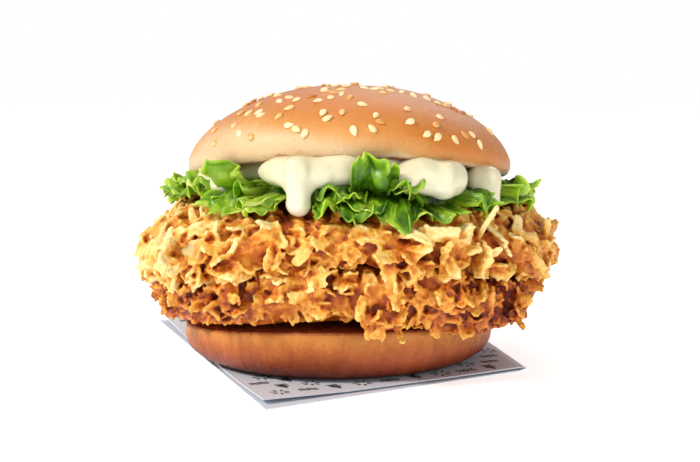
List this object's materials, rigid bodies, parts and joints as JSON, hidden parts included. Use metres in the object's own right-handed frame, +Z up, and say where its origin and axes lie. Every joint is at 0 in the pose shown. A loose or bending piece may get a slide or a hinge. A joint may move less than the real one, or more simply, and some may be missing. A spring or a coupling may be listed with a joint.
{
  "type": "chicken burger",
  "caption": "Crisp fried chicken burger in a seeded round bun, with torn lettuce and mayonnaise running out under the crown, standing on a folded sheet of wrapping paper.",
  "frame": {"origin": "on the resting surface at the underside of the paper, straight below the middle of the crown", "axes": "+Z up; -Y towards the front, where most of the filling shows; +X to the right as seen from the front"},
  "size_m": [0.1405, 0.1542, 0.0904],
  "materials": {
    "greaseproof_paper": "thin white greaseproof paper with small dark printed marks",
    "bun_crust": null,
    "fried_crust": null,
    "lettuce_leaf": null,
    "mayonnaise_cream": null
  },
  "bodies": {
    "root": {"wrapping_paper": "greaseproof_paper", "heel": "bun_crust", "lower_fillet": "fried_crust", "upper_fillet": "fried_crust", "lettuce": "lettuce_leaf", "mayonnaise": "mayonnaise_cream", "crown": "bun_crust"}
  },
  "joints": []
}
